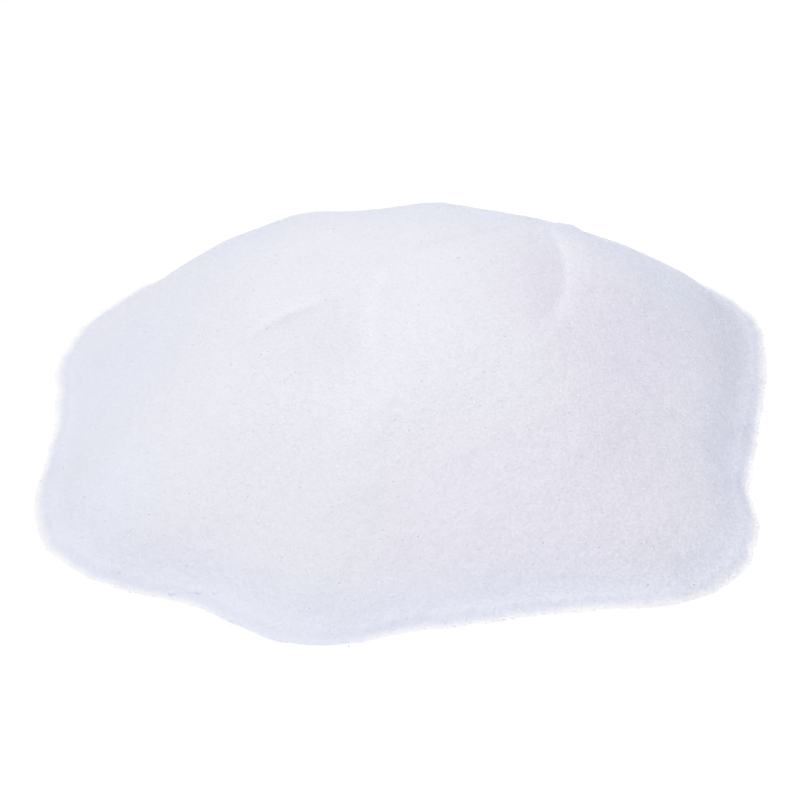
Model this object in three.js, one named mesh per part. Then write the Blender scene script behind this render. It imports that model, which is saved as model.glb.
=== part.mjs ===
import * as THREE from "three";
import { mergeGeometries } from "three/addons/utils/BufferGeometryUtils.js";

// A loose heap of fine sea salt on a level surface. Millimetres, +Z up, front towards -Y.
// The origin is the centre of the heap's bounding box, on the surface it lies on.
// Bearings are in degrees from +X, anticlockwise seen from above.

// The grid over the heap: cells along one side of the square that is mapped onto the plan.
const CELLS = 60;

// The dome: its height before the crown is rounded off, the mean radius of its foot, how far the
// flank bulges (1 is a straight cone, 2 a paraboloid), and the crown's place and rounding.
const DOME_HEIGHT = 57.5;
const DOME_RADIUS = 108;
const FLANK_POWER = 1.54;
const LOBE_BULGE = 0.0156; // power added for each millimetre that the foot reaches past the next
const EVEN_FOOT = 100;
const LOBE_START = 0.1; // share of the radius at which the lobes begin to show
const CROWN_X = 6.5;
const CROWN_Y = 6.5;
const CROWN_ROUNDING = 20;

// The foot: a thin apron of grains outside the flank, and the curve between the two.
const FOOT_RADIUS = 97;
const APRON_WIDTH = 4.5;
const APRON_HEIGHT = 0.7;
const TOE_ROUNDING = 1.8;
const RIM_DAMPING = 18; // bumps and folds die away over this width, towards the rim

// Lobes of the foot: bearing, half width in degrees, and reach beyond the foot's radius.
const LOBES = [
  { bearing: -46, spread: 12.5, reach: 19.5 }, // front right corner
  { bearing: -81, spread: 16, reach: 5.5 }, // front, right of the middle
  { bearing: -104, spread: 9, reach: 13 }, // front tongue
  { bearing: -141, spread: 17, reach: 21.5 }, // front left corner
  { bearing: 165, spread: 11, reach: 4.5 }, // left side
  { bearing: 147, spread: 16, reach: 8 }, // back left
  { bearing: 102, spread: 26, reach: 10 }, // back
  { bearing: 64, spread: 18, reach: 8.5 }, // back, right of the middle
  { bearing: 31, spread: 14.5, reach: 16.5 }, // back right corner
];

// The rim's raggedness, which dies away inward by this power: waves per turn, size and phase.
const RIM_WAVE_POWER = 8;
const RIM_WAVES = [
  { waves: 23, size: 0.5, phase: 0.7 },
  { waves: 37, size: 0.35, phase: 2.9 },
  { waves: 58, size: 0.3, phase: 4.4 },
];

// Small spurs of the rim, and notches where the reach is negative, given as the lobes are.
const SPURS = [
  { bearing: 33.5, spread: 2.5, reach: -0.8 },
  { bearing: 25.5, spread: 3, reach: 1 },
  { bearing: 8, spread: 6, reach: 1.2 },
  { bearing: -24.5, spread: 3, reach: -1.7 },
  { bearing: -31, spread: 4, reach: 1.2 },
  { bearing: -53, spread: 7, reach: 1.2 },
  { bearing: -112, spread: 5, reach: 1.2 },
  { bearing: -153, spread: 7, reach: 0.6 },
];

// Broad swellings and hollows of the surface: centre, rise and radius.
const BUMPS = [
  { x: -47, y: 42, rise: 5.6, radius: 20 }, // back left shoulder
  { x: 56, y: 46, rise: 2, radius: 20 }, // back right shoulder
  { x: -11, y: -19, rise: -4.4, radius: 18.5 }, // hollow left of the centre lobe
  { x: -4, y: -39, rise: 1.4, radius: 9 }, // foot of the centre lobe
  { x: -56, y: -21.5, rise: 2.1, radius: 18 }, // below the scarp
  { x: -12.5, y: -77, rise: -2.5, radius: 13 }, // slack above the front tongue
  { x: 63, y: -57, rise: -2.2, radius: 12 }, // slack of the front right flank
  { x: 83, y: -6, rise: 1.5, radius: 18 }, // right flank
  { x: 84, y: -36, rise: 2.2, radius: 13 }, // right flank, front
  { x: 7, y: 50, rise: 1.3, radius: 7 }, // rise on the skyline, behind the crown
  { x: -13.5, y: 47, rise: -1.6, radius: 6 }, // dip on the skyline
  { x: -45, y: 47, rise: -1.3, radius: 5.5 }, // dip on the skyline, left
  { x: 16.5, y: 47, rise: -1.3, radius: 4.5 }, // dip on the skyline, right of the crown
  { x: 46, y: 44, rise: 1, radius: 3 }, // step on the skyline, upper side
  { x: 54, y: 45.5, rise: -1, radius: 3.2 }, // step on the skyline, lower side
  { x: 66, y: 44, rise: 0.4, radius: 4 }, // rise on the skyline, right
  { x: 82, y: 48, rise: 1.5, radius: 7 }, // fullness of the back right corner
  { x: -31, y: 50, rise: 0.8, radius: 7 }, // low rise on the skyline, left
];

// Slips and creases: from, to, sideways bow of the line, rise of its crest (negative for a
// groove), how fast the rise dies away left and right of the direction of travel, the shares
// of the length over which it starts and ends, and the softness of its edge.
const FOLDS = [
  // scarp of a slip on the left
  {
    from: [-48, -20.8], to: [-20, -5.4], bow: 0.5,
    rise: 1.2, left: 6.5, right: 2.8, start: 0.35, end: 0.5, soft: 0.25,
  },
  // crease along the centre lobe
  {
    from: [-3.9, 8], to: [-6.6, -38], bow: -5.9,
    rise: -1.3, left: 4.5, right: 11, start: 0.2, end: 0.3, soft: 1,
  },
  // gully on the right of the crown
  {
    from: [38, 37], to: [32.5, -26], bow: 7,
    rise: -1.6, left: 5, right: 9, start: 0.25, end: 0.3, soft: 1.2,
  },
  // crease below the crown
  {
    from: [-3, 6], to: [31, 32], bow: -4,
    rise: -0.5, left: 4, right: 1.8, start: 0.2, end: 0.2, soft: 0.4,
  },
  // valley down the front right flank
  {
    from: [50, -19], to: [90, -41.5], bow: 0.5,
    rise: -0.9, left: 6, right: 4.5, start: 0.4, end: 0.15, soft: 1.2,
  },
  // edge of an old slip down the front
  {
    from: [-3, -42], to: [-40, -62], bow: -1,
    rise: 0.4, left: 3, right: 9, start: 0.3, end: 0.4, soft: 0.4,
  },
];

// Low undulation of the whole surface: waves per millimetre along X and Y, and phase.
const RIPPLE_SIZE = 0.03;
const RIPPLES = [
  [0.29, 0.13, 1.3],
  [-0.17, 0.36, 0.4],
  [0.43, -0.31, 2.1],
  [0.07, 0.21, 5.2],
];

const SALT = new THREE.MeshStandardMaterial({
  color: 0xeeeef5,
  roughness: 0.85,
  metalness: 0,
});

const smooth = (t) => THREE.MathUtils.smoothstep(t, 0, 1);

// A corner at zero turned into a curve of the given size.
function rounded(value, size) {
  const t = value / size;
  return size * (t > 30 ? t : Math.log1p(Math.exp(t)));
}

// The sum of what the lobes or spurs of a list reach at an angle.
function reaching(angle, list) {
  let sum = 0;
  for (const { bearing, spread, reach } of list) {
    const turn = THREE.MathUtils.radToDeg(angle) - bearing;
    const away = THREE.MathUtils.euclideanModulo(turn + 180, 360) - 180;
    sum += reach * Math.exp(-0.5 * (away / spread) ** 2);
  }
  return sum;
}

const rimRadius = (angle) => FOOT_RADIUS + reaching(angle, LOBES);

function ragged(angle) {
  const waves = RIM_WAVES.reduce((sum, w) => sum + w.size * Math.sin(w.waves * angle + w.phase), 0);
  return waves + reaching(angle, SPURS);
}

function bumpHeight(x, y, bump) {
  const squared = (x - bump.x) ** 2 + (y - bump.y) ** 2;
  return bump.rise * Math.exp((-0.5 * squared) / bump.radius ** 2);
}

function foldHeight(x, y, fold) {
  const [ax, ay] = fold.from;
  const length = Math.hypot(fold.to[0] - ax, fold.to[1] - ay);
  const ux = (fold.to[0] - ax) / length;
  const uy = (fold.to[1] - ay) / length;
  const along = ((x - ax) * ux + (y - ay) * uy) / length;
  const aside = (y - ay) * ux - (x - ax) * uy;
  const t = 2 * THREE.MathUtils.clamp(along, 0, 1) - 1;
  const tilt = (-4 * fold.bow * t) / length;
  const off = (aside - fold.bow * (1 - t * t)) / Math.hypot(1, tilt);
  const reach = off > 0 ? fold.left : fold.right;
  const across = Math.exp(-(Math.hypot(off, fold.soft) - fold.soft) / reach);
  return fold.rise * across * smooth(along / fold.start) * smooth((1 - along) / fold.end);
}

// Height of the salt over the plan, with the plan's own centre at zero.
function surfaceHeight(x, y) {
  const rim = rimRadius(Math.atan2(y, x));
  const out = Math.hypot(x, y);
  const lobed = smooth((out / rim - LOBE_START) / (1 - LOBE_START));
  const radius = DOME_RADIUS + (rim - DOME_RADIUS) * lobed;
  const fromCrown = Math.hypot(x - CROWN_X * (1 - lobed), y - CROWN_Y * (1 - lobed));
  const eased = Math.sqrt(fromCrown ** 2 + CROWN_ROUNDING ** 2 * (1 - lobed));
  const power = FLANK_POWER + LOBE_BULGE * (rim - EVEN_FOOT) * lobed;
  const dome = DOME_HEIGHT * (1 - (eased / radius) ** power);
  const apronDrop = (APRON_WIDTH * DOME_HEIGHT * power) / radius;
  let relief = 0;
  for (const bump of BUMPS) relief += bumpHeight(x, y, bump);
  for (const fold of FOLDS) relief += foldHeight(x, y, fold);
  for (const [kx, ky, phase] of RIPPLES) relief += RIPPLE_SIZE * Math.sin(kx * x + ky * y + phase);
  const flank = rounded(dome - apronDrop, TOE_ROUNDING) + relief * smooth((rim - out) / RIM_DAMPING);
  return APRON_HEIGHT + Math.max(flank, 0);
}

// The square grid mapped onto the plan, ring by ring, so that its border is the rim.
function planPoint(column, row) {
  const u = (2 * column) / CELLS - 1;
  const v = (2 * row) / CELLS - 1;
  const ring = Math.max(Math.abs(u), Math.abs(v));
  if (ring === 0) return [0, 0];
  const angle = Math.abs(u) >= Math.abs(v)
    ? (Math.PI / 4) * (v / u) + (u < 0 ? Math.PI : 0)
    : Math.PI / 2 - (Math.PI / 4) * (u / v) + (v < 0 ? Math.PI : 0);
  const reach = ring * (rimRadius(angle) + ragged(angle) * ring ** RIM_WAVE_POWER);
  return [reach * Math.cos(angle), reach * Math.sin(angle)];
}

// Grid position of the nth border vertex, anticlockwise from the front left corner.
function borderCell(n) {
  const side = Math.floor(n / CELLS) % 4;
  const step = n % CELLS;
  return [
    [step, 0],
    [CELLS, step],
    [CELLS - step, CELLS],
    [0, CELLS - step],
  ][side];
}

function heapGeometry() {
  const top = new THREE.PlaneGeometry(2, 2, CELLS, CELLS);
  for (let row = 0, n = 0; row <= CELLS; row++)
    for (let column = 0; column <= CELLS; column++, n++) {
      const [x, y] = planPoint(column, CELLS - row);
      top.attributes.position.setXYZ(n, x, y, surfaceHeight(x, y));
    }

  const border = 4 * CELLS;
  const rim = Array.from({ length: border }, (_, n) => planPoint(...borderCell(n)));
  const wall = new THREE.PlaneGeometry(2, 2, border, 1);
  for (let n = 0; n <= border; n++) {
    const [x, y] = rim[n % border];
    wall.attributes.position.setXYZ(n, x, y, surfaceHeight(x, y));
    wall.attributes.position.setXYZ(n + border + 1, x, y, 0);
  }

  const base = new THREE.ShapeGeometry(new THREE.Shape(rim.map(([x, y]) => new THREE.Vector2(x, y))));
  base.index.array.reverse(); // the underside faces down

  const closed = mergeGeometries([top, wall, base]);
  closed.computeBoundingBox();
  const middle = closed.boundingBox.getCenter(new THREE.Vector3());
  closed.translate(-middle.x, -middle.y, 0);
  closed.computeVertexNormals();
  return closed;
}

const group = new THREE.Group();
const heap = new THREE.Mesh(heapGeometry(), SALT);
heap.name = "salt_heap";
group.add(heap);

export default group;
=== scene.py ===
"""A loose heap of fine white sea salt on a pale floor, seen from its front.

The solid named salt_heap is replaced by a body with the same form and the grains' own relief,
and loose grains lie on it and around its foot. Metres in the settings, +Z up, front towards -Y.
"""

import math

import bmesh
import bpy
import numpy as np
from mathutils import Matrix, Vector


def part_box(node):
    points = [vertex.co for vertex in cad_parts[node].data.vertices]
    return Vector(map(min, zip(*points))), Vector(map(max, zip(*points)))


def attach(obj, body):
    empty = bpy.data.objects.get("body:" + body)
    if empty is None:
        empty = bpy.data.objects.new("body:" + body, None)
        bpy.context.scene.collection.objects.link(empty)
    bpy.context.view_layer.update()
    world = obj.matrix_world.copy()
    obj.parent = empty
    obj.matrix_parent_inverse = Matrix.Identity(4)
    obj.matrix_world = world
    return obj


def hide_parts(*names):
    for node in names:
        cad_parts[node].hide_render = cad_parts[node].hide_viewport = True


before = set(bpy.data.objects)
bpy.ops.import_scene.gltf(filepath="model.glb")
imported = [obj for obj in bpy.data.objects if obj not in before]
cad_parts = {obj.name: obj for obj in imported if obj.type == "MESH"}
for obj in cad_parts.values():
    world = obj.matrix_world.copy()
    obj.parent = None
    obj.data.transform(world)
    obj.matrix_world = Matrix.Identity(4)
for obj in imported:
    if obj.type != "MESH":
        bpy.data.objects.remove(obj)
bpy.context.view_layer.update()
heap_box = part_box("salt_heap")

bl_info = {
    "name": "Heap of sea salt",
    "version": (1, 0, 0),
    "blender": (4, 5, 0),
    "location": "3D View > Sidebar > Salt",
    "description": "Builds a loose heap of fine sea salt, its grains and a pale studio stage",
    "category": "Object",
}

NODE = "salt_heap"
BODY = "root"
MM = 0.001

# Lobes of the foot: bearing and half width in degrees, reach beyond the foot's radius in mm.
LOBES = (
    (-46, 12.5, 19.5),  # front right corner
    (-81, 16, 5.5),  # front, right of the middle
    (-104, 9, 13),  # front tongue
    (-141, 17, 21.5),  # front left corner
    (165, 11, 4.5),  # left side
    (147, 16, 8),  # back left
    (102, 26, 10),  # back
    (64, 18, 8.5),  # back, right of the middle
    (31, 14.5, 16.5),  # back right corner
)

# Layers of random lumps: how far apart they are in mm, how strong they are, and their seed. The
# rim's bays reach that far in mm, and die away inward by the power.
RIM_BAYS = ((9.0, 0.45, 31), (3.7, 0.36, 31), (1.5, 0.25, 31))
RIM_BAY_POWER = 8
MOTTLES = ((2.3, 1.0, 11), (5.1, 0.8, 12), (1.1, 0.5, 13))
SWELLS = ((9.0, 1.0, 16), (17.0, 1.6, 17))
THICKNESSES = ((11.0, 0.5, 18), (2.6, 0.3, 19))
USUAL_THICKNESS = 1.2

# Spurs and notches of the rim alone: bearing and half width in degrees, reach in mm.
SPURS = (
    (33.5, 2.5, -0.8),
    (25.5, 3, 1.0),
    (8, 6, 1.2),
    (-24.5, 3, -1.7),
    (-31, 4, 1.2),
    (-53, 7, 1.2),
    (-112, 5, 1.2),
    (-153, 7, 0.6),
)

# Broad swellings and hollows: centre, radius and rise in mm.
BUMPS = (
    (-47, 42, 20, 5.6),  # back left shoulder
    (56, 46, 20, 2),  # back right shoulder
    (-11, -19, 18.5, -4.4),  # hollow left of the centre lobe
    (-4, -39, 9, 1.4),  # foot of the centre lobe
    (-56, -21.5, 18, 2.1),  # below the scarp
    (-12.5, -77, 13, -2.5),  # slack above the front tongue
    (63, -57, 12, -2.2),  # slack of the front right flank
    (83, -6, 18, 1.5),  # right flank
    (84, -36, 13, 2.2),  # right flank, front
    (7, 50, 7, 1.3),  # rise on the skyline, behind the crown
    (-13.5, 47, 6, -1.6),  # dip on the skyline
    (-45, 47, 5.5, -1.3),  # dip on the skyline, left
    (16.5, 47, 4.5, -1.3),  # dip on the skyline, right of the crown
    (46, 44, 3, 1.0),  # step on the skyline, upper side
    (54, 45.5, 3.2, -1.0),  # step on the skyline, lower side
    (66, 44, 4, 0.4),  # rise on the skyline, right
    (82, 48, 7, 1.5),  # fullness of the back right corner
    (-31, 50, 7, 0.8),  # low rise on the skyline, left
)

# Slips and creases in mm: from, to, sideways bow, rise of the crest, how far it spreads to the
# left and right of the way along it, the shares of its length over which it starts and ends, and
# how round its crest or bottom is.
FOLDS = (
    ((-48, -20.8), (-20, -5.4), 0.5, 1.2, 6.5, 2.8, 0.35, 0.5, 0.25),  # scarp of a slip on the left
    ((-3.9, 8), (-6.6, -38), -5.9, -1.3, 4.5, 11, 0.2, 0.3, 1.0),  # crease along the centre lobe
    ((38, 37), (32.5, -26), 7, -1.6, 5, 9, 0.25, 0.3, 1.2),  # gully on the right of the crown
    ((-3, 6), (31, 32), -4, -0.5, 4, 1.8, 0.2, 0.2, 0.4),  # crease below the crown
    ((50, -19), (90, -41.5), 0.5, -0.9, 6, 4.5, 0.4, 0.15, 1.2),  # valley down the front right
    ((-3, -42), (-40, -62), -1, 0.4, 3, 9, 0.3, 0.4, 0.4),  # edge of an old slip down the front
)

# Painted highlights and painted shade beside the folds, lighter on lit crests and darker on
# shaded faces: the fold's number from 0, how far to the left of its line the streak lies and its
# half width, in mm, and how much lighter it is.
PAINTED_STREAKS = (
    (0, 1.2, 1.1, 0.03),
    (0, 5.0, 6.0, 0.02),
    (0, -1.3, 1.0, -0.035),
    (0, -3.0, 2.0, -0.01),
    (1, -0.3, 1.6, 0.022),
    (1, 8.0, 8.0, 0.008),
    (2, 0.4, 1.2, 0.036),
    (3, 0.0, 1.0, -0.03),
    (4, 0.0, 2.0, -0.02),
    (4, -5.0, 3.0, 0.008),
)

# Painted light and shade in soft patches: place on the plan and radius in mm, and how much
# lighter the salt is painted.
PAINTED_LIGHT_AND_SHADE = (
    (92, 40, 9, -0.035),
    (96, 26, 6, -0.03),
    (97, 12, 6, -0.035),
    (95, 0, 6, -0.035),
    (94, -15, 5, -0.04),
    (92, -50, 6, -0.02),
    (91, -31, 5, 0.03),
    (87, -70, 5, 0.025),
    (80, -7, 7, 0.022),
    (57, -35, 10, 0.012),
    (53, 37, 8, -0.02),
    (-19, -17, 6, -0.014),
    (-40, 44, 9, -0.018),
    (-22, -90, 8, -0.012),
    (-9, -99, 6, 0.015),
    (34, 44, 6, -0.015),
    (-3, 49, 7, -0.014),
    (50, 12, 8, 0.012),
    (-19, -27, 6, -0.018),
    (20, -32, 12, -0.008),
    (80, -47, 6, 0.012),
    (91, 20, 6, -0.02),
    (91, -20, 4, -0.02),
    (-96, -58, 6, -0.02),
    (-94, -38, 8, -0.02),
    (-72, -76, 9, -0.012),
    (71, -86, 8, -0.02),
    (88, -58, 6, -0.02),
    (-44, 34, 9, -0.012),
    (70, -17, 13, 0.01),
    (40, -45, 15, -0.02),
    (53, -66, 14, -0.02),
    (71, -80, 14, -0.03),
    (-25, -84, 17, -0.03),
    (-33, -24, 12, -0.02),
    (-9, -55, 9, 0.01),
    (-7, -15, 8, 0.012),
    (-86, -12, 15, 0.01),
    (-70, -80, 13, -0.015),
    (-45, -55, 15, -0.01),
)

# Patches of a faint tint: place on the plan and radius in mm, and how warm or cool they are.
# The cool ones along the skyline paint the blue cast of the shade there.
TINTS = (
    (47, -6, 22, 1.0),
    (24, -82, 21, 1.1),
    (-8, -45, 40, 0.2),
    (-86, 6, 18, -0.9),
    (15, 52, 30, -0.9),
    (-28, -102, 9, -0.8),
    (-92, -24, 18, -0.5),
    (-80, -60, 12, -0.9),
    (-50, 38, 12, -0.9),
    (56, 39, 11, -1.0),
    (33, 44, 8, -0.9),
    (78, 32, 10, -0.9),
    (22, -38, 12, -0.35),
    (54, -62, 16, 0.5),
)

# Places where the salt lies thick right out to the rim: the same, and how many metres further
# in they look.
BANKS = (
    (-42, -100, 6, 0.004),
    (-33, -105, 6, 0.004),
    (-23, -109, 6, 0.004),
)

# Places where the grains differ more, or less, from their neighbours: the same, and how much.
SPECKLES = (
    (-28, -42, 22, 0.9),
    (12, 8, 18, -0.5),
    (10, -85, 20, -0.4),
)

# Low undulation of the whole surface: waves per mm along X and Y, and phase.
RIPPLES = ((0.29, 0.13, 1.3), (-0.17, 0.36, 0.4), (0.43, -0.31, 2.1), (0.07, 0.21, 5.2))
RIPPLE_SIZE = 0.03

# Small clumps of damp grains on the apron: place on the plan and size, in mm.
CLUMPS = ((-62.3, -89.6, 2.3), (-55.2, -90.0, 3.0), (-51.0, -91.2, 2.1))

# How clumps are shaped, as shares of their size: how far their points stray, how high they are
# and how deep they sit. They look as the salt does this many metres in from the rim.
CLUMP_STRAY = 0.03
CLUMP_HEIGHT = 0.42
CLUMP_SINK = 0.1
CLUMP_INWARD = 0.004
CLUMP_SEED = 28

LATTICE = 512  # side of the lattice of random numbers behind the uneven relief
RIM_POINTS = 4000  # points of the rim that its box is taken from
SLOPE_STEP = 0.4  # how far to each side of a point its slope is taken, in mm

# The body's grid: the share of it whose points are shifted, how far they are, and the least
# height of the salt, in mm.
SHIFTED_SHARE = 0.995
SHIFT = 0.21
LEAST_HEIGHT = 0.01
BODY_SEED = 5

# How much sooner the painted shade along the foot fades at the right than at the front.
FOOT_SHADE_FADE_RIGHT = 0.3

# How much the imported grains differ: in the middle, how much more or less towards the right or
# left, and how far out that goes on, as shares of the foot's radius. The grains' own random tone
# is painted stronger towards the right, as grain light and shade under the grazing light there.
USUAL_SPECKLE = 1.1
SPECKLE_RISE = 1.5
SPECKLE_SPAN = (-0.35, 0.9)

# How loose grains are spread: the half width of the square they are tried in, tries for each
# grain, how far they keep from the rim, in mm, and the upward share of the steepest direction.
PLAN_REACH = 125
TRIES = 3
RIM_MARGIN = 0.4
STEEPEST = 0.7

# Unevenness of the loose grains, as shares of the usual one: the spread of their size, their
# least and largest size, the range of each side, and how far they rise or sink.
GRAIN_SPREAD = 0.22
GRAIN_RANGE = (0.6, 1.6)
SIDE_RANGE = (0.85, 1.15)
GRAIN_RISE = 0.1

# Grains on the floor along the rim, in mm out from it: where they start, how far they mostly and
# at most go, and the least share of that between the thick patches.
FOOT_START = -1.0
FOOT_REACH = 0.3
FOOT_LIMIT = 1.4
FOOT_THIN = 0.3
FOOT_SEED = 27

# The thick patches along the rim: steps along the random lattice for a radian, the line that they
# run along, how far apart the patches are, and their seed.
PATCH_STEPS = 30
PATCH_LINE = 3.3
PATCH_SPACING = 1.6
PATCH_SEED = 14

# Unevenness of the grains along the rim, as for the others, their height and their lean.
FOOT_SMALLER = -0.2
FOOT_SPREAD = 0.25
FOOT_RANGE = (0.5, 1.5)
FOOT_SIDE_RANGE = (0.8, 1.2)
FOOT_HEIGHT = 0.45
FOOT_LEAN = 0.02

# Finish of the salt, with sizes in metres.
# The foot's tint is painted shade: darker, bluer salt along the steep toe.
FOOT_SHADE_SPAN = (0.023, 0.003)  # how far in from the rim the foot's tint starts, and is full
THIN_TINT = (0.0038, 0.0)  # the same for the thin salt's tint
CLOUD = 0.006  # width of the faint clouds
CLOUD_DETAIL = 3.0
CLOUD_CONTRAST = 0.02
FACET = 0.00042  # width of the cells that differ in roughness
SALT_IOR = 1.54
SALT_SPECULAR = 0.15
PACKED_GRAIN = 0.0006  # width of the cells that stand for packed grains
PACKED_SHADE = 0.995
PACKED_CONTRAST = 0.047
DARK_GRAIN = 0.0007  # width of the cells of which a few are darker
DARK_LEVEL = 0.98  # the share of them that is not
DARK_DROP = 0.02
PACKED_BUMP = {"Strength": 0.28, "Distance": 0.00012}
LOOSE_CONTRAST = 0.05
LOOSE_PITTING = 0.00025  # width of the pits of a loose grain
LOOSE_BUMP = {"Strength": 0.25, "Distance": 0.00005}

# The stage: sides of the round floor and wall, the wall's radius beside the floor's, and the
# floor's roughness.
ROUND_SIDES = 96
WALL_SHARE = 0.98
FLOOR_ROUGHNESS = 0.9


def length(name, description, default, low=0.0, high=1.0):
    """A size in metres that can be changed in the sidebar."""
    return bpy.props.FloatProperty(
        name=name, description=description, default=default, min=low, max=high,
        unit="LENGTH", subtype="DISTANCE", precision=5,
    )


def colour(name, description, default):
    """A colour that can be changed in the sidebar."""
    return bpy.props.FloatVectorProperty(
        name=name, description=description, default=default, min=0.0, max=1.0,
        size=3, subtype="COLOR",
    )


def share(name, description, default, low=0.0, high=1.0):
    """A plain number that can be changed in the sidebar."""
    return bpy.props.FloatProperty(
        name=name, description=description, default=default, min=low, max=high, precision=3,
    )


def count(name, description, default, low=0, high=60000):
    """A number of things that can be changed in the sidebar."""
    return bpy.props.IntProperty(
        name=name, description=description, default=default, min=low, max=high,
    )


class SaltHeapSize(bpy.types.PropertyGroup):
    """Sizes of the heap as it lies."""

    dome_height: length("Dome height", "Height of the cone before its crown is rounded", 0.0575)
    dome_radius: length("Dome radius", "Mean radius at which the dome meets the floor", 0.108)
    flank_power: share("Flank bulge", "1 is a straight cone, 2 a paraboloid", 1.54, 1.0, 3.0)
    lobe_bulge: share("Lobe bulge", "Bulge added for each millimetre of a lobe", 0.0156)
    even_foot: length("Even foot", "Radius of the foot at which no bulge is added", 0.1)
    lobe_start: share("Lobe start", "Share of the radius where the lobes begin to show", 0.1)
    crown_x: length("Crown X", "The crown's place from left to right", 0.0065, -0.1, 0.1)
    crown_y: length("Crown Y", "The crown's place from front to back", 0.0065, -0.1, 0.1)
    crown_rounding: length("Crown rounding", "Radius over which the crown is rounded", 0.02)
    foot_radius: length("Foot radius", "Radius of the foot between its lobes", 0.097)
    apron_width: length("Apron width", "Width of the thin apron of grains at the foot", 0.0045)
    apron_height: length("Apron height", "Thickness of the apron where the flank meets it", 0.0007)
    apron_edge: length("Apron edge", "Thickness of the apron at its rim", 0.00001)
    toe_rounding: length("Toe rounding", "Size of the curve from flank to apron", 0.0018)
    rim_damping: length("Rim damping", "Width over which bumps die away at the rim", 0.018)


class SaltGrainSize(bpy.types.PropertyGroup):
    """Sizes and numbers of the grains."""

    cells: count("Cells", "Cells along one side of the body's grid", 310, 20, 312)
    roughening: length("Roughening", "How far the surface grains stand in and out", 0.000032)
    mottling: length("Mottling", "Height of the uneven patches a few millimetres wide", 0.00008)
    swelling: length("Swelling", "Height of the uneven patches about a centimetre wide", 0.00014)
    grain: length("Grain", "Edge of a usual grain", 0.00038)
    cubes: count("Cubes", "Number of whole cubic grains on the heap", 600)
    chipped: count("Chipped grains", "Number of grains with a broken corner", 700)
    slivers: count("Slivers", "Number of long grains", 1000)
    flakes: count("Flakes", "Number of thin flat grains", 7000)
    shards: count("Shards", "Number of small low fragments", 15000)
    worn: count("Worn grains", "Number of grains with rounded corners", 9500)
    coarse: count("Coarse crystals", "Number of larger crystals", 30)
    foot: count("Foot grains", "Number of grains on the floor along the rim", 1500)
    tilt: share("Tilt", "How far grains lean from the surface, in radians", 0.10, 0.0, 1.6)
    sink: share("Sink", "Share of a grain that lies below the surface", 0.84)


class SaltLook(bpy.types.PropertyGroup):
    """Colours and finish of the salt."""

    salt: colour("Salt", "Colour of the packed salt", (0.834, 0.834, 0.877))
    # Along the skyline the cool colour paints the blue cast of the shade.
    cool: colour("Cool salt", "Colour of its coolest patches", (0.812, 0.834, 0.892))
    warm: colour("Warm salt", "Colour of its warmest patches", (0.838, 0.818, 0.872))
    # The foot's colour is painted shade of the steep toe, darker and bluer.
    foot: colour("Foot", "Colour of the salt along the foot", (0.787, 0.803, 0.883))
    thin: colour("Thin salt", "Colour where the floor shows through", (0.908, 0.902, 0.913))
    roughness: share("Roughness", "Mean roughness of the crystal faces", 0.62)
    glitter: share("Glitter", "How much the roughness changes from grain to grain", 0.5)


class SaltStage(bpy.types.PropertyGroup):
    """Floor, light and camera."""

    floor_radius: length("Floor radius", "Radius of the floor", 6.0, 0.5, 20.0)
    wall_height: length("Wall height", "Height of the pale wall round the floor", 2.0, 0.0, 10.0)
    floor: colour("Floor", "Colour of the floor", (0.98, 0.98, 0.98))
    sky: colour("Sky", "Colour of the light from all round", (0.22, 0.26, 1.0))
    sky_strength: share("Sky strength", "Strength of the light from all round", 0.3, 0.0, 3.0)
    key: colour("Key", "Colour of the soft overhead light", (1.0, 0.99, 0.78))
    key_strength: share("Key strength", "Strength of the soft overhead light", 3.02, 0.0, 10.0)
    key_left: share("Key lean left", "Lean of the overhead light to the left", 0.09, -1.0, 1.0)
    key_front: share("Key lean front", "Lean of the overhead light to the front", 0.02, -1.0, 1.0)
    key_softness: share("Key softness", "Angle that this light fills, in radians", 1.05, 0.0, 3.1)
    elevation: share("Elevation", "The camera's angle above the floor, in degrees", 32.0, 1.0, 89.0)
    distance: length("Distance", "From the camera to the point it looks at", 0.8, 0.1, 5.0)
    lens: share("Lens", "Focal length in millimetres on a 36 mm wide sensor", 130.32, 10.0, 300.0)
    aim: bpy.props.FloatVectorProperty(
        name="Aim", description="The point the camera looks at", default=(-0.0039, -0.0162, 0.014),
        size=3, unit="LENGTH", subtype="TRANSLATION",
    )


def smooth(t):
    """Ease from 0 to 1 as t goes from 0 to 1."""
    t = np.clip(t, 0.0, 1.0)
    return t * t * (3.0 - 2.0 * t)


def rounded(value, size):
    """A corner at zero turned into a curve of the given size."""
    return size * np.logaddexp(0.0, value / size)


def lumps(x, y, spacing, seed):
    """Random swell between -1 and 1, with its lumps about this far apart."""
    lattice = np.random.default_rng(seed).uniform(-1.0, 1.0, (LATTICE, LATTICE))
    column, across = np.divmod(x / spacing, 1.0)
    row, up = np.divmod(y / spacing, 1.0)
    column = column.astype(int) % LATTICE
    row = row.astype(int) % LATTICE
    right = (column + 1) % LATTICE
    above = (row + 1) % LATTICE
    across = smooth(across)
    up = smooth(up)
    near = lattice[row, column] * (1 - across) + lattice[row, right] * across
    far = lattice[above, column] * (1 - across) + lattice[above, right] * across
    return near * (1 - up) + far * up


def layered(x, y, layers, base=0.0):
    """Layers of lumps added to a base."""
    return sum((size * lumps(x, y, apart, seed) for apart, size, seed in layers), base)


def bell(away, spread):
    """1 at a line or bearing, dying away softly to both sides of it."""
    return np.exp(-0.5 * (away / spread) ** 2)


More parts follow.
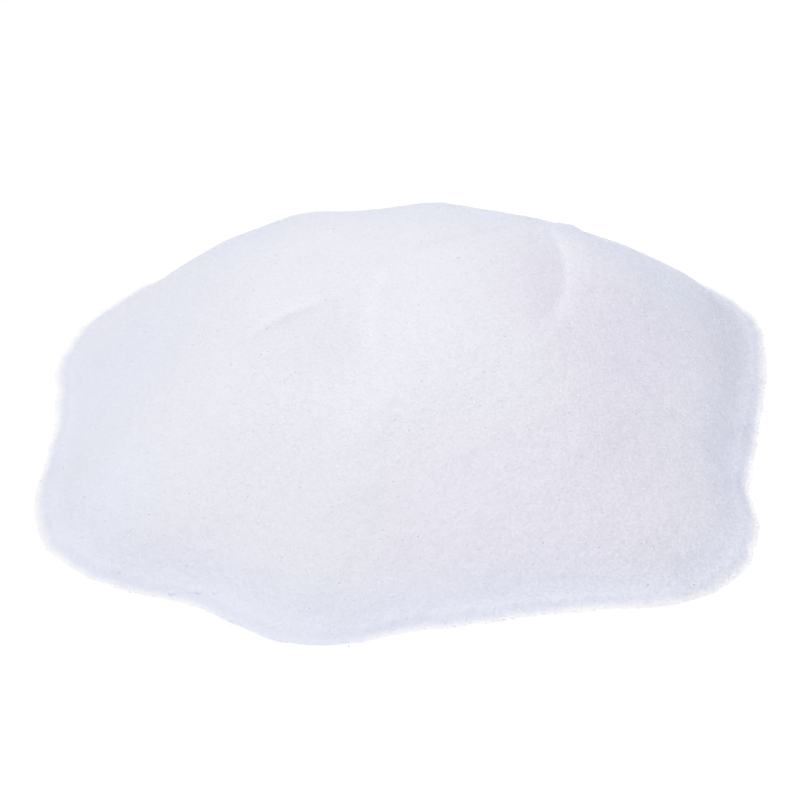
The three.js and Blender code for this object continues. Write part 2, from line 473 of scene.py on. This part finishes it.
class HeapSurface:
    """The salt's surface over its plan, in millimetres, with the plan's own centre at zero."""

    def __init__(self, size, grains):
        self.dome_height = size.dome_height / MM
        self.dome_radius = size.dome_radius / MM
        self.flank_power = size.flank_power
        self.lobe_bulge = size.lobe_bulge
        self.even_foot = size.even_foot / MM
        self.lobe_start = size.lobe_start
        self.crown = (size.crown_x / MM, size.crown_y / MM)
        self.crown_rounding = size.crown_rounding / MM
        self.foot_radius = size.foot_radius / MM
        self.apron_width = size.apron_width / MM
        self.apron_height = size.apron_height / MM
        self.apron_edge = size.apron_edge / MM
        self.toe_rounding = size.toe_rounding / MM
        self.rim_damping = size.rim_damping / MM
        self.mottling = grains.mottling / MM
        self.swelling = grains.swelling / MM
        self.middle = self.plan_middle()

    def plan_middle(self):
        """The middle of the rim's box, which lies on the middle of the solid's box."""
        angle = np.linspace(-math.pi, math.pi, RIM_POINTS)
        reach = self.rim_radius(angle) + self.ragged(angle)
        x = reach * np.cos(angle)
        y = reach * np.sin(angle)
        low, high = heap_box
        return (
            (x.min() + x.max()) / 2 - (low[0] + high[0]) / 2 / MM,
            (y.min() + y.max()) / 2 - (low[1] + high[1]) / 2 / MM,
        )

    def rim_radius(self, angle):
        """Radius of the rim at a bearing, without its raggedness."""
        return self.foot_radius + self.reaching(angle, LOBES)

    def reaching(self, angle, lobes):
        """How far soft lobes reach out at a bearing."""
        reach = np.zeros(np.shape(angle))
        for bearing, spread, most in lobes:
            away = np.mod(np.degrees(angle) - bearing + 180, 360) - 180
            reach = reach + most * bell(away, spread)
        return reach

    def ragged(self, angle):
        """How far the rim strays outward at a bearing."""
        x = self.foot_radius * np.cos(angle)
        y = self.foot_radius * np.sin(angle)
        return layered(x, y, RIM_BAYS) + self.reaching(angle, SPURS)

    def fold(self, x, y, fold):
        """How far a point lies to the left of a fold's line, and the fold's share there."""
        (ax, ay), (bx, by), bow, _, _, _, start, end, _ = fold
        reach = math.hypot(bx - ax, by - ay)
        ux = (bx - ax) / reach
        uy = (by - ay) / reach
        along = ((x - ax) * ux + (y - ay) * uy) / reach
        aside = (y - ay) * ux - (x - ax) * uy
        t = 2 * np.clip(along, 0, 1) - 1
        tilt = -4 * bow * t / reach
        off = (aside - bow * (1 - t * t)) / np.hypot(1, tilt)
        return off, smooth(along / start) * smooth((1 - along) / end)

    def fold_height(self, x, y, fold):
        """Height that one slip or crease adds."""
        off, strength = self.fold(x, y, fold)
        _, _, _, rise, left, right, _, _, soft = fold
        fade = np.where(off > 0, left, right)
        across = np.exp(-(np.hypot(off, soft) - soft) / fade)
        return rise * across * strength

    def patched(self, x, y, patches):
        """The sum of soft round patches at a place."""
        return sum(
            size * np.exp(-0.5 * ((x - px) ** 2 + (y - py) ** 2) / radius**2)
            for px, py, radius, size in patches
        )

    def tone(self, x, y):
        """How much lighter the salt is painted: patches of painted light and shade, and painted
        highlights and shade in the streaks beside its folds.
        """
        gain = self.patched(x, y, PAINTED_LIGHT_AND_SHADE)
        for number, middle, wide, lighter in PAINTED_STREAKS:
            off, strength = self.fold(x, y, FOLDS[number])
            gain = gain + lighter * strength * bell(off - middle, wide)
        return gain

    def relief(self, x, y):
        """Bumps, folds and undulation, before they are damped at the rim."""
        relief = self.patched(x, y, BUMPS)
        relief = relief + sum(self.fold_height(x, y, fold) for fold in FOLDS)
        return relief + sum(
            RIPPLE_SIZE * np.sin(kx * x + ky * y + phase) for kx, ky, phase in RIPPLES
        )

    def height(self, x, y):
        """Height of the salt above the floor, which runs out to nothing at the rim."""
        angle = np.arctan2(y, x)
        rim = self.rim_radius(angle)
        out = np.hypot(x, y)
        lobed = smooth((out / rim - self.lobe_start) / (1 - self.lobe_start))
        radius = self.dome_radius + (rim - self.dome_radius) * lobed
        crown_x, crown_y = self.crown
        from_crown = np.hypot(x - crown_x * (1 - lobed), y - crown_y * (1 - lobed))
        eased = np.sqrt(from_crown**2 + self.crown_rounding**2 * (1 - lobed))
        power = self.flank_power + self.lobe_bulge * (rim - self.even_foot) * lobed
        dome = self.dome_height * (1 - (eased / radius) ** power)
        apron_drop = self.apron_width * self.dome_height * power / radius
        toe = rounded(dome - apron_drop, self.toe_rounding)
        inward = smooth((rim - out) / self.rim_damping)
        flank = np.maximum(toe + self.relief(x, y) * inward, 0.0)
        edge = smooth((rim + self.ragged(angle) - out) / self.apron_width)
        swell = self.swelling * layered(x, y, SWELLS) * inward
        rough = self.mottling * layered(x, y, MOTTLES) + swell
        return self.apron_edge + (self.apron_height + flank + rough) * edge

    def normal(self, x, y):
        """Outward direction of the surface."""
        step = SLOPE_STEP
        slope_x = (self.height(x + step, y) - self.height(x - step, y)) / (2 * step)
        slope_y = (self.height(x, y + step) - self.height(x, y - step)) / (2 * step)
        across = np.stack([-slope_x, -slope_y, np.ones_like(slope_x)], axis=-1)
        return across / np.linalg.norm(across, axis=-1, keepdims=True)

    def inward(self, x, y):
        """Distance in from the rim, in metres."""
        angle = np.arctan2(y, x)
        return (self.rim_radius(angle) + self.ragged(angle) - np.hypot(x, y)) * MM

    def cover(self, x, y):
        """Distance in from the rim, stretched where the layer of salt there is thick."""
        thickness = layered(x, y, THICKNESSES, USUAL_THICKNESS)
        return self.inward(x, y) * thickness + self.patched(x, y, BANKS)

    def looks(self, x, y):
        """What the materials need to know about a place, by the name of its attribute."""
        side = x / self.foot_radius
        left = np.clip(-side, 0.0, 1.0) ** 2 * np.clip(1.0 + y / self.foot_radius, 0.0, 1.0)
        right = np.clip(side, 0.0, 1.0) ** 2
        # Stronger towards the right: painted grain light and shade under grazing light.
        speckle = USUAL_SPECKLE + SPECKLE_RISE * np.clip(side, *SPECKLE_SPAN)
        return {
            # Painted shade along the foot, reaching less far in at the left and right.
            "foot": self.inward(x, y) * (1.0 + left + FOOT_SHADE_FADE_RIGHT * right),
            "cover": self.cover(x, y),
            # painted light and shade
            "tone": self.tone(x, y),
            "warmth": self.patched(x, y, TINTS),
            "uneven": speckle + self.patched(x, y, SPECKLES),
        }

    def plan(self, u, v):
        """The square from -1 to 1 mapped onto the plan, ring by ring, so its border is the rim."""
        ring = np.maximum(np.abs(u), np.abs(v))
        wide = np.abs(u) >= np.abs(v)
        bottom = np.where(wide, u, v)
        ratio = np.where(wide, v, u) / np.where(bottom == 0, 1.0, bottom)
        beside = math.pi / 4 * ratio + np.where(u < 0, math.pi, 0.0)
        above = math.pi / 2 - math.pi / 4 * ratio + np.where(v < 0, math.pi, 0.0)
        angle = np.where(wide, beside, above)
        reach = ring * (self.rim_radius(angle) + self.ragged(angle) * ring**RIM_BAY_POWER)
        return reach * np.cos(angle), reach * np.sin(angle)

    def placed(self, x, y, z):
        """Points on the plan as metres in the frame."""
        middle_x, middle_y = self.middle
        return np.stack([x - middle_x, y - middle_y, z], axis=-1) * MM


class Value:
    """A number that changes over a surface, whose sums add Math nodes."""

    def __init__(self, finish, socket):
        self.finish = finish
        self.socket = socket

    def math(self, operation, first, second):
        """The result of a Math node."""
        node = self.finish.node("ShaderNodeMath", {"operation": operation}, {0: first, 1: second})
        return Value(self.finish, node.outputs[0])

    def __add__(self, other):
        return self.math("ADD", self, other)

    def __radd__(self, other):
        return self.math("ADD", other, self)

    def __sub__(self, other):
        return self.math("SUBTRACT", self, other)

    def __rsub__(self, other):
        return self.math("SUBTRACT", other, self)

    def __mul__(self, other):
        return self.math("MULTIPLY", self, other)

    def __rmul__(self, other):
        return self.math("MULTIPLY", other, self)

    def __gt__(self, other):
        return self.math("GREATER_THAN", self, other)


class Finish:
    """A material and the nodes that it is made of."""

    def __init__(self, name):
        self.material = bpy.data.materials.new(name)
        self.material.use_nodes = True
        self.tree = self.material.node_tree
        self.shader = self.tree.nodes["Principled BSDF"]

    def node(self, kind, settings=None, inputs=None):
        """A new node: its settings are set first, then the values or links of its sockets."""
        node = self.tree.nodes.new(kind)
        for name, value in (settings or {}).items():
            setattr(node, name, value)
        for name, value in (inputs or {}).items():
            self.feed(node.inputs[name], value)
        return node

    def feed(self, socket, value):
        """Set a socket, or link it to a value."""
        source = value.socket if isinstance(value, Value) else value
        if isinstance(source, bpy.types.NodeSocket):
            self.tree.links.new(source, socket)
        else:
            socket.default_value = source

    def value(self, kind, settings, inputs, output=0):
        """One output of a new node, as a Value."""
        return Value(self, self.node(kind, settings, inputs).outputs[output])

    def kept(self, name):
        """The number kept at each point of the mesh under this name."""
        return self.value("ShaderNodeAttribute", {"attribute_name": name}, {}, "Fac")

    def place(self):
        """The point on the piece, in metres."""
        return self.node("ShaderNodeTexCoord").outputs["Object"]

    def noise(self, place, size, detail=2.0):
        """Soft patches about this wide, from 0 to 1."""
        inputs = {"Vector": place, "Scale": 1.0 / size, "Detail": detail, "Roughness": 0.55}
        return self.value("ShaderNodeTexNoise", {"noise_dimensions": "3D"}, inputs, "Fac")

    def grains(self, place, size):
        """A number from 0 to 1 for each cell of this width, the same all over the cell."""
        settings = {"voronoi_dimensions": "3D", "feature": "F1"}
        cells = self.node("ShaderNodeTexVoronoi", settings, {"Vector": place, "Scale": 1.0 / size})
        return self.value("ShaderNodeSeparateColor", {}, {"Color": cells.outputs["Color"]}, "Red")

    def mapped(self, value, low, high):
        """A value eased from 0 to 1 as it goes from low to high."""
        inputs = {"Value": value, "From Min": low, "From Max": high}
        return self.value("ShaderNodeMapRange", {"interpolation_type": "SMOOTHSTEP"}, inputs)

    def mixed(self, factor, first, second):
        """Two colours mixed."""
        settings = {"data_type": "RGBA", "blend_type": "MIX"}
        inputs = {0: factor, 6: first, 7: second}
        return self.node("ShaderNodeMix", settings, inputs).outputs[2]

    def scaled(self, tint, factor):
        """A colour made lighter or darker by a factor that changes over the surface."""
        inputs = {0: tint, "Scale": factor}
        return self.node("ShaderNodeVectorMath", {"operation": "SCALE"}, inputs).outputs[0]

    def raised(self, height, bump):
        """Relief on the surface from a height, with the strength and distance of its bump."""
        relief = self.node("ShaderNodeBump", {}, {"Height": height, **bump})
        self.feed(self.shader.inputs["Normal"], relief.outputs["Normal"])


def solid(tint):
    """A colour with full alpha."""
    return (*tint, 1.0)


def salt_finish(name, look, tone):
    """Fine salt. Tone takes the finish and the place, and gives each grain's own shade."""
    finish = Finish(name)
    place = finish.place()
    warmth = finish.kept("warmth")
    tint = finish.mixed(finish.mapped(warmth, 0.0, 1.0), solid(look.salt), solid(look.warm))
    tint = finish.mixed(finish.mapped(warmth, 0.0, -1.0), tint, solid(look.cool))
    # Painted shade of the steep toe along the foot; the thin salt where the floor shows through.
    rim_tints = (("foot", FOOT_SHADE_SPAN, look.foot), ("cover", THIN_TINT, look.thin))
    for attribute, span, rim_tint in rim_tints:
        tint = finish.mixed(finish.mapped(finish.kept(attribute), *span), tint, solid(rim_tint))
    cloud = finish.noise(place, CLOUD, CLOUD_DETAIL)
    # The kept tone adds the painted light and shade of the patches and the fold streaks.
    shade = tone(finish, place) + finish.kept("tone") + CLOUD_CONTRAST * (cloud - 0.5)
    finish.feed(finish.shader.inputs["Base Color"], finish.scaled(tint, shade))
    facets = finish.grains(place, FACET)
    rough = look.roughness + look.glitter * (facets - 0.5)
    finish.feed(finish.shader.inputs["Roughness"], rough)
    finish.shader.inputs["IOR"].default_value = SALT_IOR
    finish.shader.inputs["Specular IOR Level"].default_value = SALT_SPECULAR
    return finish, place


def packed_salt(look):
    """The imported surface, where each cell of the pattern stands for one grain."""

    def tone(finish, place):
        grain = finish.grains(place, PACKED_GRAIN) - 0.5
        dark = finish.grains(place, DARK_GRAIN) > DARK_LEVEL
        contrast = PACKED_CONTRAST * finish.kept("uneven")
        return PACKED_SHADE + contrast * grain - DARK_DROP * dark

    finish, place = salt_finish("packed_salt", look, tone)
    settings = {"voronoi_dimensions": "3D", "feature": "F1"}
    inputs = {"Vector": place, "Scale": 1.0 / PACKED_GRAIN}
    crystals = finish.value("ShaderNodeTexVoronoi", settings, inputs, "Distance")
    finish.raised(crystals, PACKED_BUMP)
    return finish.material


def loose_salt(look):
    """Loose grains, each with a shade of its own."""

    def tone(finish, place):
        return 1.0 + LOOSE_CONTRAST * finish.kept("shade")

    finish, place = salt_finish("loose_salt", look, tone)
    finish.raised(finish.noise(place, LOOSE_PITTING), LOOSE_BUMP)
    return finish.material


def floor_finish(stage):
    """The plain pale floor."""
    finish = Finish("pale_floor")
    finish.shader.inputs["Base Color"].default_value = solid(stage.floor)
    finish.shader.inputs["Roughness"].default_value = FLOOR_ROUGHNESS
    finish.shader.inputs["Specular IOR Level"].default_value = 0.0
    return finish.material


def wall_finish():
    """The plain pale wall, bright by itself."""
    finish = Finish("pale_wall")
    finish.shader.inputs["Base Color"].default_value = solid((0.0, 0.0, 0.0))
    finish.shader.inputs["Emission Color"].default_value = solid((1.0, 1.0, 1.0))
    finish.shader.inputs["Emission Strength"].default_value = 1.0
    return finish.material


def measured(mesh, name, values):
    """Keep a number at each point of a mesh, for its material."""
    kept = mesh.attributes.new(name, "FLOAT", "POINT")
    kept.data.foreach_set("value", np.asarray(values, dtype=np.float32))


def settled(name, mesh, material):
    """Put a finished mesh in the scene as a piece of the heap."""
    if not mesh.polygons:
        raise RuntimeError(f"{name} has no faces")
    mesh.materials.append(material)
    piece = bpy.data.objects.new(name, mesh)
    bpy.context.scene.collection.objects.link(piece)
    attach(piece, BODY)
    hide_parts(NODE)


def finished(bm, name):
    """A bmesh as a mesh, and the bmesh is freed."""
    mesh = bpy.data.meshes.new(name)
    bm.to_mesh(mesh)
    bm.free()
    return mesh


def material_named(name, make, look):
    """The material of that name, made the first time it is asked for."""
    return bpy.data.materials.get(name) or make(look)


class GrainForm:
    """A grain one unit wide, read from a bmesh as arrays."""

    def __init__(self, bm):
        bmesh.ops.triangulate(bm, faces=bm.faces)
        bm.verts.index_update()
        self.points = np.array([vert.co for vert in bm.verts])
        self.faces = np.array([[vert.index for vert in face.verts] for face in bm.faces])
        bm.free()


def worn_cube():
    """A bmesh of a cubic crystal, worn narrower at its top."""
    bm = bmesh.new()
    cube = bmesh.ops.create_cube(bm, size=1.0)
    top = [vert for vert in cube["verts"] if vert.co.z > 0]
    bmesh.ops.scale(bm, verts=top, vec=(0.72, 0.72, 1.0))
    return bm


def cube_form():
    """A whole cubic crystal."""
    return GrainForm(worn_cube())


def chipped_form():
    """A cubic crystal with one corner broken off."""
    bm = worn_cube()
    cut = bmesh.ops.bisect_plane(
        bm, geom=[*bm.verts, *bm.edges, *bm.faces], plane_co=(0.15, 0.17, 0.25),
        plane_no=(1.0, 0.9, 0.7), clear_outer=True,
    )
    edges = [part for part in cut["geom_cut"] if isinstance(part, bmesh.types.BMEdge)]
    bmesh.ops.contextual_create(bm, geom=edges)
    bmesh.ops.recalc_face_normals(bm, faces=bm.faces)
    return GrainForm(bm)


def shard_form():
    """A small pointed fragment."""
    bm = bmesh.new()
    bmesh.ops.create_cone(
        bm, cap_ends=True, cap_tris=False, segments=4, radius1=0.75, radius2=0.4, depth=0.7,
    )
    return GrainForm(bm)


def worn_form():
    """A grain whose corners are worn round."""
    bm = bmesh.new()
    bmesh.ops.create_icosphere(bm, subdivisions=1, radius=0.58)
    return GrainForm(bm)


def coarse_form():
    """A larger crystal with worn edges."""
    bm = bmesh.new()
    bmesh.ops.create_cube(bm, size=1.0)
    bmesh.ops.bevel(
        bm, geom=bm.edges[:], offset=0.1, offset_type="OFFSET", affect="EDGES", segments=1,
        profile=0.5, material=-1,
    )
    bmesh.ops.recalc_face_normals(bm, faces=bm.faces)
    return GrainForm(bm)


def leaning(normals, tilt, rng):
    """A turn for each grain: one axis near the surface's direction, and any spin about it."""
    lean = normals + rng.normal(0.0, 1.0, normals.shape) * np.tan(tilt)
    up = lean / np.linalg.norm(lean, axis=1, keepdims=True)
    side = np.cross(up, rng.normal(0.0, 1.0, normals.shape))
    side = side / np.linalg.norm(side, axis=1, keepdims=True)
    return np.stack([side, np.cross(up, side), up], axis=2)


def joined_grains(name, form, centres, turns, sizes, values):
    """One mesh of many copies of a grain, each in its place, turned and sized.

    Values holds a list for each attribute of the mesh, with a number for each grain.
    """
    number = len(centres)
    shaped = form.points[None, :, :] * sizes[:, None, :]
    points = np.einsum("nij,nkj->nki", turns, shaped) + centres[:, None, :]
    corners = form.faces[None, :, :] + len(form.points) * np.arange(number)[:, None, None]
    mesh = bpy.data.meshes.new(name)
    mesh.vertices.add(points.shape[0] * points.shape[1])
    mesh.vertices.foreach_set("co", points.astype(np.float32).ravel())
    mesh.loops.add(corners.size)
    mesh.loops.foreach_set("vertex_index", corners.astype(np.int32).ravel())
    mesh.polygons.add(corners.size // 3)
    mesh.polygons.foreach_set("loop_start", np.arange(0, corners.size, 3, dtype=np.int32))
    mesh.update(calc_edges=True)
    if mesh.validate():
        raise RuntimeError(f"{name} has faces that can't be built")
    mesh.shade_flat()
    for attribute, numbers in values.items():
        measured(mesh, attribute, np.repeat(numbers, len(form.points)))
    return mesh


def strewn(surface, number, rng):
    """Points spread evenly over the heap's surface, steep or flat, as x and y on the plan."""
    found_x = np.empty(0)
    found_y = np.empty(0)
    while len(found_x) < number:
        x = rng.uniform(-PLAN_REACH, PLAN_REACH, TRIES * number)
        y = rng.uniform(-PLAN_REACH, PLAN_REACH, TRIES * number)
        inside = np.hypot(x, y) < surface.rim_radius(np.arctan2(y, x)) - RIM_MARGIN
        x = x[inside]
        y = y[inside]
        flatness = surface.normal(x, y)[:, 2]
        kept = rng.uniform(0.0, 1.0, len(x)) < STEEPEST / flatness
        found_x = np.concatenate([found_x, x[kept]])
        found_y = np.concatenate([found_y, y[kept]])
    return found_x[:number], found_y[:number]


def lay_grains(context, name, form, number, proportions, seed, scale=1.0):
    """A layer of like grains over the heap, each mostly sunk in the surface."""
    scene = context.scene
    grains = scene.salt_grains
    surface = HeapSurface(scene.salt_size, grains)
    rng = np.random.default_rng(seed)
    x, y = strewn(surface, number, rng)
    normals = surface.normal(x, y)
    turns = leaning(normals, grains.tilt, rng)
    uneven = np.clip(rng.lognormal(0.0, GRAIN_SPREAD, number), *GRAIN_RANGE)
    edge = grains.grain / MM * scale * uneven
    sizes = edge[:, None] * np.array(proportions) * rng.uniform(*SIDE_RANGE, (number, 3))
    rise = rng.normal(0.0, GRAIN_RISE, number)
    raised = (0.5 - grains.sink) * sizes[:, 2] + rise * sizes[:, 2]
    centres = np.stack([x, y, surface.height(x, y)], axis=1) + normals * raised[:, None]
    centres = surface.placed(centres[:, 0], centres[:, 1], centres[:, 2])
    values = surface.looks(x, y)
    values["shade"] = rng.uniform(0.0, 1.0, number)
    mesh = joined_grains(name, form, centres, turns, sizes * MM, values)
    settled(name, mesh, material_named("loose_salt", loose_salt, scene.salt_look))


# Kinds of fine grain: piece, form, the setting that counts them, proportions and seed.
FINE_GRAINS = (
    ("cubic_grains", cube_form, "cubes", (1, 1, 1), 21),
    ("chipped_grains", chipped_form, "chipped", (1.05, 1.05, 1), 22),
    ("long_grains", cube_form, "slivers", (0.75, 1.4, 0.75), 23),
    ("flat_grains", cube_form, "flakes", (1.2, 1.3, 0.4), 24),
    ("broken_grains", shard_form, "shards", (0.8, 0.9, 0.7), 25),
    ("worn_grains", worn_form, "worn", (1.1, 1.1, 0.9), 29),
)


class SALT_OT_body(bpy.types.Operator):
    """Build the heap's body, with the relief of its surface grains"""

    bl_idname = "salt.body"
    bl_label = "Heap body"

    def execute(self, context):
        scene = context.scene
        grains = scene.salt_grains
        surface = HeapSurface(scene.salt_size, grains)
        rng = np.random.default_rng(BODY_SEED)
        bm = bmesh.new()
        bmesh.ops.create_grid(bm, x_segments=grains.cells, y_segments=grains.cells, size=1.0)
        flat = np.array([vert.co for vert in bm.verts])
        x, y = surface.plan(flat[:, 0], flat[:, 1])
        inner = np.abs(flat[:, :2]).max(axis=1) < SHIFTED_SHARE
        x = x + rng.uniform(-SHIFT, SHIFT, len(x)) * inner
        y = y + rng.uniform(-SHIFT, SHIFT, len(y)) * inner
        rough = rng.normal(0.0, grains.roughening / MM, len(x))
        z = surface.height(x, y) + rough * inner
        for vert, place in zip(bm.verts, surface.placed(x, y, np.maximum(z, LEAST_HEIGHT))):
            vert.co = place
        bmesh.ops.triangulate(bm, faces=bm.faces, quad_method="SHORT_EDGE")
        border = [edge for edge in bm.edges if edge.is_boundary]
        skirt = bmesh.ops.extrude_edge_only(bm, edges=border)["geom"]
        for part in skirt:
            if isinstance(part, bmesh.types.BMVert):
                part.co.z = 0.0
        border = [edge for edge in bm.edges if edge.is_boundary]
        base = bmesh.ops.contextual_create(bm, geom=border)["faces"]
        bmesh.ops.poke(bm, faces=base)
        bmesh.ops.recalc_face_normals(bm, faces=bm.faces)
        mesh = finished(bm, "salt_body")
        points = np.array([vert.co for vert in mesh.vertices]) / MM
        middle_x, middle_y = surface.middle
        looks = surface.looks(points[:, 0] + middle_x, points[:, 1] + middle_y)
        for attribute, numbers in looks.items():
            measured(mesh, attribute, numbers)
        settled("salt_body", mesh, material_named("packed_salt", packed_salt, scene.salt_look))
        return {"FINISHED"}


class SALT_OT_fine_grains(bpy.types.Operator):
    """Lay the loose fine grains over the heap, one piece for each kind"""

    bl_idname = "salt.fine_grains"
    bl_label = "Fine grains"

    def execute(self, context):
        grains = context.scene.salt_grains
        for name, form, number, proportions, seed in FINE_GRAINS:
            lay_grains(context, name, form(), getattr(grains, number), proportions, seed)
        return {"FINISHED"}


class SALT_OT_coarse_crystals(bpy.types.Operator):
    """Lay the few larger crystals over the heap"""

    bl_idname = "salt.coarse_crystals"
    bl_label = "Coarse crystals"

    def execute(self, context):
        number = context.scene.salt_grains.coarse
        lay_grains(
            context, "coarse_crystals", coarse_form(), number,
            proportions=(1, 1.1, 0.6), seed=26, scale=1.45,
        )
        return {"FINISHED"}


class SALT_OT_foot_grains(bpy.types.Operator):
    """Strew grains on the floor along the heap's rim"""

    bl_idname = "salt.foot_grains"
    bl_label = "Foot grains"

    def execute(self, context):
        scene = context.scene
        grains = scene.salt_grains
        surface = HeapSurface(scene.salt_size, grains)
        rng = np.random.default_rng(FOOT_SEED)
        angle = rng.uniform(-math.pi, math.pi, grains.foot)
        line = np.full(grains.foot, PATCH_LINE)
        patchy = 0.5 + 0.5 * lumps(PATCH_STEPS * angle, line, PATCH_SPACING, PATCH_SEED)
        out = rng.exponential(FOOT_REACH, grains.foot) * (FOOT_THIN + patchy) + FOOT_START
        reach = surface.rim_radius(angle) + surface.ragged(angle) + np.minimum(out, FOOT_LIMIT)
        x = reach * np.cos(angle)
        y = reach * np.sin(angle)
        uneven = np.clip(rng.lognormal(FOOT_SMALLER, FOOT_SPREAD, grains.foot), *FOOT_RANGE)
        edge = grains.grain / MM * uneven
        sides = edge[:, None] * rng.uniform(*FOOT_SIDE_RANGE, (grains.foot, 3))
        sizes = sides * np.array([1, 1, FOOT_HEIGHT])
        upright = np.tile([0.0, 0.0, 1.0], (grains.foot, 1))
        turns = leaning(upright, FOOT_LEAN, rng)
        under = np.where(out < 0, surface.apron_edge, 0.0)
        centres = surface.placed(x, y, under + sizes[:, 2] / 2)
        values = surface.looks(x, y)
        values["shade"] = rng.uniform(0.0, 1.0, grains.foot)
        mesh = joined_grains("foot_grains", cube_form(), centres, turns, sizes * MM, values)
        settled("foot_grains", mesh, material_named("loose_salt", loose_salt, scene.salt_look))
        return {"FINISHED"}


class SALT_OT_clumps(bpy.types.Operator):
    """Set the small clumps of grains on the apron"""

    bl_idname = "salt.clumps"
    bl_label = "Clumps"

    def execute(self, context):
        scene = context.scene
        surface = HeapSurface(scene.salt_size, scene.salt_grains)
        rng = np.random.default_rng(CLUMP_SEED)
        bm = bmesh.new()
        for x, y, wide in CLUMPS:
            at = np.array([x]), np.array([y])
            up = Vector(surface.normal(*at)[0].tolist())
            lean = Vector((0.0, 0.0, 1.0)).rotation_difference(up).to_matrix().to_4x4()
            spot = surface.placed(x, y, float(surface.height(*at)[0]))
            turn = lean @ Matrix.Rotation(rng.uniform(0, math.tau), 4, "Z")
            place = Matrix.Translation(Vector(spot.tolist())) @ turn
            made = bmesh.ops.create_icosphere(bm, subdivisions=3, radius=0.5, matrix=Matrix())
            for vert in made["verts"]:
                vert.co *= 1.0 + rng.uniform(-CLUMP_STRAY, CLUMP_STRAY)
                vert.co.z = CLUMP_HEIGHT * vert.co.z - CLUMP_SINK
                vert.co = place @ (vert.co * wide * MM)
        mesh = finished(bm, "salt_clumps")
        # The clumps take the painted shade of the foot, as the salt this far in does.
        looks = {"foot": CLUMP_INWARD, "cover": CLUMP_INWARD, "uneven": 1.0}
        for attribute, amount in looks.items():
            measured(mesh, attribute, np.full(len(mesh.vertices), amount))
        settled("salt_clumps", mesh, material_named("packed_salt", packed_salt, scene.salt_look))
        return {"FINISHED"}


class SALT_OT_stage(bpy.types.Operator):
    """Set up the pale floor, the soft light and the camera"""

    bl_idname = "salt.stage"
    bl_label = "Stage"

    def execute(self, context):
        stage = context.scene.salt_stage
        self.lay_floor(context, stage)
        self.light(context, stage)
        self.set_camera(context, stage)
        context.scene.view_settings.view_transform = "Standard"
        return {"FINISHED"}

    def lay_floor(self, context, stage):
        """The round floor, and a bright wall round it that the heap's light doesn't see."""
        radius = stage.floor_radius
        bm = bmesh.new()
        bmesh.ops.create_circle(bm, cap_ends=True, segments=ROUND_SIDES, radius=radius)
        mesh = finished(bm, "floor")
        mesh.materials.append(floor_finish(stage))
        floor = bpy.data.objects.new("floor", mesh)
        context.scene.collection.objects.link(floor)
        bm = bmesh.new()
        ring = bmesh.ops.create_circle(bm, segments=ROUND_SIDES, radius=WALL_SHARE * radius)
        bmesh.ops.extrude_edge_only(bm, edges=bm.edges[:])
        for vert in ring["verts"]:
            vert.co.z = stage.wall_height
        mesh = finished(bm, "wall")
        mesh.materials.append(wall_finish())
        wall = bpy.data.objects.new("wall", mesh)
        wall.visible_diffuse = False
        wall.visible_glossy = False
        wall.visible_shadow = False
        context.scene.collection.objects.link(wall)

    def light(self, context, stage):
        """One broad soft light from above, and a weak one from all round."""
        lamp = bpy.data.lights.new("overhead_light", "SUN")
        lamp.color = stage.key
        lamp.energy = stage.key_strength
        lamp.angle = stage.key_softness
        light = bpy.data.objects.new("overhead_light", lamp)
        toward = Vector((-stage.key_left, -stage.key_front, 1.0))
        light.rotation_euler = toward.to_track_quat("Z", "Y").to_euler()
        light.location = toward
        context.scene.collection.objects.link(light)
        world = bpy.data.worlds.new("studio")
        world.use_nodes = True
        sky = world.node_tree.nodes["Background"]
        sky.inputs["Color"].default_value = solid(stage.sky)
        sky.inputs["Strength"].default_value = stage.sky_strength
        context.scene.world = world

    def set_camera(self, context, stage):
        """The camera, in front of the heap and above it."""
        camera_data = bpy.data.cameras.new("camera")
        camera_data.lens = stage.lens
        camera_data.sensor_width = 36.0
        camera_data.clip_start = 0.01
        camera = bpy.data.objects.new("camera", camera_data)
        rise = math.radians(stage.elevation)
        back = Vector((0.0, -math.cos(rise), math.sin(rise)))
        camera.location = Vector(stage.aim) + stage.distance * back
        camera.rotation_euler = back.to_track_quat("Z", "Y").to_euler()
        context.scene.collection.objects.link(camera)
        context.scene.camera = camera


class SALT_PT_panel(bpy.types.Panel):
    """The heap's settings and the steps that build it"""

    bl_label = "Heap of sea salt"
    bl_space_type = "VIEW_3D"
    bl_region_type = "UI"
    bl_category = "Salt"

    def draw(self, context):
        for label, group in SETTINGS:
            box = self.layout.box()
            box.label(text=label)
            for name in getattr(context.scene, group).bl_rna.properties.keys():
                if name not in ("rna_type", "name"):
                    box.prop(getattr(context.scene, group), name)
        for step in STEPS:
            self.layout.operator(step.bl_idname)


SETTINGS = (
    ("Heap", "salt_size"),
    ("Grains", "salt_grains"),
    ("Look", "salt_look"),
    ("Stage", "salt_stage"),
)
GROUPS = (SaltHeapSize, SaltGrainSize, SaltLook, SaltStage)
STEPS = (
    SALT_OT_body,
    SALT_OT_fine_grains,
    SALT_OT_coarse_crystals,
    SALT_OT_foot_grains,
    SALT_OT_clumps,
    SALT_OT_stage,
)


def register():
    for cls in (*GROUPS, *STEPS, SALT_PT_panel):
        bpy.utils.register_class(cls)
    for (label, name), group in zip(SETTINGS, GROUPS):
        setattr(bpy.types.Scene, name, bpy.props.PointerProperty(name=label, type=group))


def unregister():
    for _, name in SETTINGS:
        delattr(bpy.types.Scene, name)
    for cls in (SALT_PT_panel, *reversed(STEPS), *reversed(GROUPS)):
        bpy.utils.unregister_class(cls)


def main():
    """Build every piece and the stage."""
    register()
    bpy.ops.salt.body()
    bpy.ops.salt.fine_grains()
    bpy.ops.salt.coarse_crystals()
    bpy.ops.salt.foot_grains()
    bpy.ops.salt.clumps()
    bpy.ops.salt.stage()


if __name__ == "__main__":
    main()
